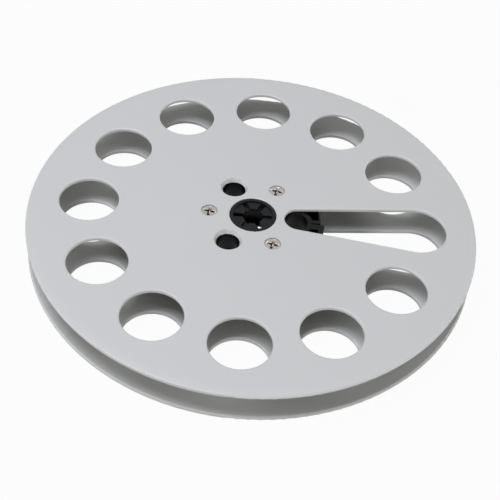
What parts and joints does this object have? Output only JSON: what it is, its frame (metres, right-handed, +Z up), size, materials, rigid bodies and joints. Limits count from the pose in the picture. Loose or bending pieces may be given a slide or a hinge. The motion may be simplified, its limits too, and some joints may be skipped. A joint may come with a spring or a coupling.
{
  "type": "audio tape reel",
  "caption": "Round tape reel: two thin pierced flanges with a keyhole threading slot, screwed to a short open hub with a lobed spindle bore at each end.",
  "frame": {"origin": "on the spindle axis, on the underside that the reel lies on", "axes": "+X along the threading slot, +Y away from the camera, +Z up along the spindle axis"},
  "size_m": [0.1778, 0.1778, 0.014],
  "materials": {
    "flange_plastic": "fine matte moulded, light grey",
    "hub_plastic": "satin moulded, black",
    "bush_plastic": "satin moulded, black",
    "screw_metal": "nickel plated"
  },
  "bodies": {
    "root": {"upper_flange": "flange_plastic", "lower_flange": "flange_plastic", "hub": "hub_plastic", "spindle_bush_upper": "bush_plastic", "spindle_bush_lower": "bush_plastic", "flange_screw_upper_1": "screw_metal", "flange_screw_upper_2": "screw_metal", "flange_screw_upper_3": "screw_metal", "flange_screw_lower_1": "screw_metal", "flange_screw_lower_2": "screw_metal", "flange_screw_lower_3": "screw_metal"}
  },
  "joints": []
}
